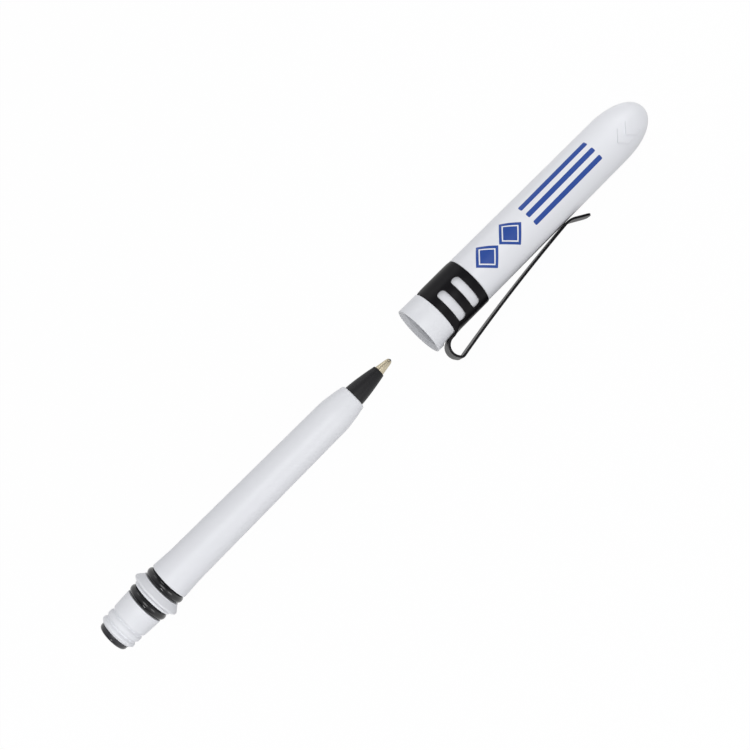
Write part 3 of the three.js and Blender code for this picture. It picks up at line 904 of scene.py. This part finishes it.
def clip_line():
    """Middle line of the sheet from the start of its bend to the end of the arm, as (x, distance) points."""
    lean = math.radians(BEND_LEAN)
    inner, top = TONGUE_DISTANCE + BEND_INNER_RADIUS, BEND_TOP - BEND_OUTER_RADIUS
    gain = BEND_OUTER_RADIUS - BEND_INNER_RADIUS
    front = (top - inner + gain * math.sin(lean)) / math.cos(lean)
    top_x = BEND_START + gain * math.cos(lean) + front * math.sin(lean)
    line = arc(BEND_START, inner, BEND_INNER_RADIUS, 270, 180 - BEND_LEAN, CURVE_STEPS)
    line += arc(top_x, top, BEND_OUTER_RADIUS, 180 - BEND_LEAN, 90 - ARM_START_SLOPE, CURVE_STEPS)
    first = Vector(line[-1])
    elbow = Vector((ELBOW_PLACE, cap_radius(ELBOW_PLACE) + ELBOW_GAP + SHEET / 2))
    fall, rise = math.tan(math.radians(ARM_START_SLOPE)), math.tan(math.radians(ARM_END_SLOPE))
    control_x = (first.y - elbow.y + fall * first.x - rise * elbow.x) / (fall - rise)
    control = Vector((control_x, elbow.y + rise * (elbow.x - control_x)))
    for i in range(1, 2 * CURVE_STEPS + 1):
        t = i / (2 * CURVE_STEPS)
        line.append(tuple(first * (1 - t) ** 2 + control * 2 * t * (1 - t) + elbow * t ** 2))
    slope = math.radians(ARM_END_SLOPE)
    line += arc(elbow.x + ELBOW_RADIUS * math.sin(slope), elbow.y + ELBOW_RADIUS * math.cos(slope),
                ELBOW_RADIUS, 270 - ARM_END_SLOPE, 270 + KICK_SLOPE, CURVE_STEPS)[1:]
    x, distance = line[-1]
    kick = math.radians(KICK_SLOPE)
    line.append((x + KICK_LENGTH * math.cos(kick), distance + KICK_LENGTH * math.sin(kick)))
    return np.array(line)


LINE = clip_line()
LINE_LENGTHS = np.concatenate([[0], np.cumsum(np.hypot(*np.diff(LINE, axis=0).T))])


def on_line(along):
    """The point of the clip's middle line at a length from the start of the bend."""
    return Vector([float(np.interp(along, LINE_LENGTHS, LINE[:, i])) for i in (0, 1)])


def smooth(value, start, stop):
    """Rises gently from 0 at start to 1 at stop."""
    t = min(1, max(0, (value - start) / (stop - start)))
    return t * t * (3 - 2 * t)


def on_clip(x, across, height):
    """The place in the bent clip of a place in its flat blank."""
    if x < BEND_START:
        along = BEND_START - x
        ahead, behind = on_line(along + LINE_NUDGE), on_line(max(0, along - LINE_NUDGE))
        way = (ahead - behind).normalized()
        at = on_line(along) + Vector((way.y, -way.x)) * height
        return Vector((at.x, -at.y, across))
    angle = across / BAND_RADIUS
    radius = BAND_RADIUS + height
    on_band = Vector((x, -radius * math.cos(angle), radius * math.sin(angle)))
    on_tongue = Vector((x, -TONGUE_DISTANCE - height, across))
    flatness = 1 - smooth(x, BLEND_END - TONGUE_BLEND, BLEND_END)
    flatness *= 1 - smooth(abs(across), CLIP_WIDTH / 2, CLIP_WIDTH / 2 + TONGUE_SIDE_BLEND)
    return on_band.lerp(on_tongue, flatness)


def clip_blank():
    """The flat blank that the clip is bent from: a slotted band with a long tongue."""
    end = BEND_START - LINE_LENGTHS[-1]
    band_end = BAND_START + BAND_WIDTH
    reach = BAND_HALF_LENGTH
    half, end_half = CLIP_WIDTH / 2, CLIP_END_WIDTH / 2
    outline = rounded([
        (band_end, -reach, BAND_CORNER_RADIUS), (band_end, reach, BAND_CORNER_RADIUS),
        (BAND_START, reach, BAND_CORNER_RADIUS), (BAND_START, half, BAND_ROOT_RADIUS),
        (BEND_START, half), (end, end_half, CLIP_END_CORNER),
        (end, -end_half, CLIP_END_CORNER), (BEND_START, -half),
        (BAND_START, -half, BAND_ROOT_RADIUS), (BAND_START, -reach, BAND_CORNER_RADIUS)])
    low, high = [math.radians(degrees) * BAND_RADIUS for degrees in (SLOT_FROM, SLOT_TO)]
    slot_round = SLOT_WIDTH / 2 * SLOT_END_FULLNESS
    holes = []
    for i in range(SLOT_COUNT):
        x = BAND_START + SLOT_INSET + i * SLOT_PITCH
        for side in (1, -1):
            holes.append(rounded([
                (x, side * low, slot_round), (x + SLOT_WIDTH, side * low, slot_round),
                (x + SLOT_WIDTH, side * high, slot_round), (x, side * high, slot_round)]))
    return flat_sheet(outline, holes, SHEET, SHEET_EDGE_ROUND)


def clip(material):
    """The clip: one unbroken strip, also where it flexes."""
    bm = clip_blank()
    cut_across(bm, 1, steps_between(-BAND_HALF_LENGTH, BAND_HALF_LENGTH, BAND_STEP)[1:-1])
    cut_across(bm, 0, steps_between(BLEND_END, BEND_START, TONGUE_STEP))
    bend_end = LINE_LENGTHS[2 * CURVE_STEPS + 1]
    elbow_start, elbow_end = LINE_LENGTHS[-2 - CURVE_STEPS], LINE_LENGTHS[-2]
    for first, last, step in (
        (0, bend_end, BEND_STEP),
        (bend_end, elbow_start, ARM_STEP),
        (elbow_start, elbow_end, ELBOW_STEP),
    ):
        cut_across(bm, 0, [BEND_START - along for along in steps_between(first, last, step)])
    for vert in bm.verts:
        vert.co = on_clip(*vert.co)
    piece = finished("spring_clip", bm, material, CAP_PLACE)
    slope = Vector((FLEX_SLOPE, 1))
    start = slope * (FLEX_START / slope.length_squared)
    end = slope * (FLEX_END / slope.length_squared)
    start, end = [CAP_PLACE @ Vector((p.x, -p.y, 0)) * MM for p in (start, end)]
    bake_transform(piece)
    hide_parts("clip_band", "clip_arm")


# Stage, light and camera

def seen_by_eye(tree):
    """1 for the rays that show the background: straight from the camera, mirrored or through glass."""
    path = add_node(tree, "ShaderNodeLightPath")
    mirrored = add_node(tree, "ShaderNodeMath", {
        0: path.outputs["Is Glossy Ray"], 1: path.outputs["Is Transmission Ray"]}, operation="MAXIMUM")
    either = add_node(tree, "ShaderNodeMath", {
        0: path.outputs["Is Camera Ray"], 1: mirrored.outputs[0]}, operation="MAXIMUM")
    return either.outputs[0]


def floor_material():
    """Matt paper, grey to the light that falls on it. The eye sees it as white, with a part of its shadow."""
    material = bpy.data.materials.new("white_paper")
    material.use_nodes = True
    tree = material.node_tree
    tree.nodes.clear()
    paper = add_node(tree, "ShaderNodeBsdfDiffuse", {"Color": linear("909092")})
    glow = add_node(tree, "ShaderNodeEmission", {"Color": linear("ffffff"), "Strength": FLOOR_GLOW})
    share = add_node(tree, "ShaderNodeMath", {
        0: seen_by_eye(tree), 1: FLOOR_GLOW_SHARE}, operation="MULTIPLY")
    mixed = add_node(tree, "ShaderNodeMixShader", {
        0: share.outputs[0], 1: paper.outputs["BSDF"], 2: glow.outputs["Emission"]})
    add_node(tree, "ShaderNodeOutputMaterial", {"Surface": mixed.outputs["Shader"]})
    return material


def floor():
    """A sheet of paper just below the lowest point of the pen."""
    bm = bmesh.new()
    height = frame_bounds[0].z / MM - FLOOR_GAP
    bmesh.ops.create_grid(bm, x_segments=1, y_segments=1, size=FLOOR_HALF,
                          matrix=Matrix.Translation((CAMERA_TARGET_X, 0, height)))
    bmesh.ops.transform(bm, matrix=Matrix.Scale(MM, 4), verts=bm.verts)
    mesh = bpy.data.meshes.new("floor")
    bm.to_mesh(mesh)
    bm.free()
    mesh.materials.append(floor_material())
    piece = bpy.data.objects.new("floor", mesh)
    bpy.context.scene.collection.objects.link(piece)


def world():
    """A room that is brightest level with the pen on its long sides, and dimmer overhead and past its ends.

    The eye itself sees it as white, like the floor.
    """
    made = bpy.data.worlds.new("studio")
    bpy.context.scene.world = made
    made.use_nodes = True
    tree = made.node_tree
    tree.nodes.clear()
    way = add_node(tree, "ShaderNodeTexCoord").outputs["Generated"]
    parts = add_node(tree, "ShaderNodeSeparateXYZ", {"Vector": way})
    endways = add_node(tree, "ShaderNodeMath", {0: parts.outputs["X"], 1: 2.0}, operation="POWER")
    sideways = add_node(tree, "ShaderNodeMath", {0: parts.outputs["Y"], 1: 2.0}, operation="POWER")
    dimmed = add_node(tree, "ShaderNodeMath", {
        0: endways.outputs[0], 1: -END_DIMMING, 2: ROOM_LIGHT}, operation="MULTIPLY_ADD")
    strength = add_node(tree, "ShaderNodeMath", {
        0: sideways.outputs[0], 1: SIDE_LIGHT, 2: dimmed.outputs[0]}, operation="MULTIPLY_ADD")
    seen = add_node(tree, "ShaderNodeLightPath").outputs["Is Camera Ray"]
    kept = add_node(tree, "ShaderNodeMath", {0: strength.outputs[0], 1: seen}, operation="MAXIMUM")
    light = add_node(tree, "ShaderNodeBackground", {"Color": linear("fcfcff"), "Strength": kept.outputs[0]})
    add_node(tree, "ShaderNodeOutputWorld", {"Surface": light.outputs["Background"]})


def lamp(name, place, target, size, power):
    """A square soft box, placed in millimetres."""
    data = bpy.data.lights.new(name, "AREA")
    data.size = size * MM
    data.energy = power
    made = bpy.data.objects.new(name, data)
    made.location = Vector(place) * MM
    made.rotation_mode = "QUATERNION"
    made.rotation_quaternion = (Vector(target) - Vector(place)).to_track_quat("-Z", "Y")
    bpy.context.scene.collection.objects.link(made)


def camera():
    """Above the pen, nearly square to its clip, leaning to the tail, and turned so that the pen slants."""
    lean = math.radians(CAMERA_LEAN)
    side = CLIP_DROOP - math.radians(CLIP_TILT)
    above = Vector((0, -math.sin(side), math.cos(side)))
    back = above * math.cos(lean) - Vector((math.sin(lean), 0, 0))
    along = (Vector((1, 0, 0)) - back * back.x).normalized()
    across = back.cross(along)
    slant = math.radians(AXIS_SLANT)
    right = along * math.cos(slant) - across * math.sin(slant)
    up = along * math.sin(slant) + across * math.cos(slant)
    data = bpy.data.cameras.new("photo_camera")
    data.sensor_width = SENSOR
    data.lens = SENSOR * CAMERA_DISTANCE / (PHOTO_PIXELS * PIXEL_SIZE)
    data.clip_start = CAMERA_NEAR * MM
    made = bpy.data.objects.new("photo_camera", data)
    turn = Matrix((right, up, back)).transposed().to_4x4()
    target = Vector((CAMERA_TARGET_X, 0, 0))
    made.matrix_world = Matrix.Translation((target + back * CAMERA_DISTANCE) * MM) @ turn
    bpy.context.scene.collection.objects.link(made)
    bpy.context.scene.camera = made


camera()
white, rubber, steel, ink_print = white_abs(), nitrile_rubber(), coated_steel(), pad_print()
barrel(white)
o_ring("rear_seal_ring", "rear_o_ring", REAR_RING_LOW, REAR_RING_HIGH, rubber)
o_ring("front_seal_ring", "front_o_ring", FRONT_RING_LOW, FRONT_RING_HIGH, rubber)
end_plug(black_abs())
refill_nose(black_polypropylene())
tip_socket(turned_brass())
writing_ball(carbide())
cap(white)
arrowheads(white)
stripes(ink_print)
lozenges(ink_print)
clip(steel)
refill_filling()

floor()
world()
lamp("overhead_soft_box", place=(70, -150, 575), target=(85, 0, 0), size=300, power=1.05)
lamp("barrel_side_lamp", place=(70, -180, 90), target=(60, 0, 0), size=80, power=0.06)
lamp("cap_side_lamp", place=(150, 180, 120), target=(140, 0, 0), size=80, power=0.04)
lamp("tail_lamp", place=(-52, -20, 50), target=(5, 0, 0), size=9, power=0.011)
lamp("dome_lamp", place=(250, 30, 100), target=(160, 0, 0), size=60, power=0.044)

bpy.context.scene.view_settings.view_transform = "Standard"
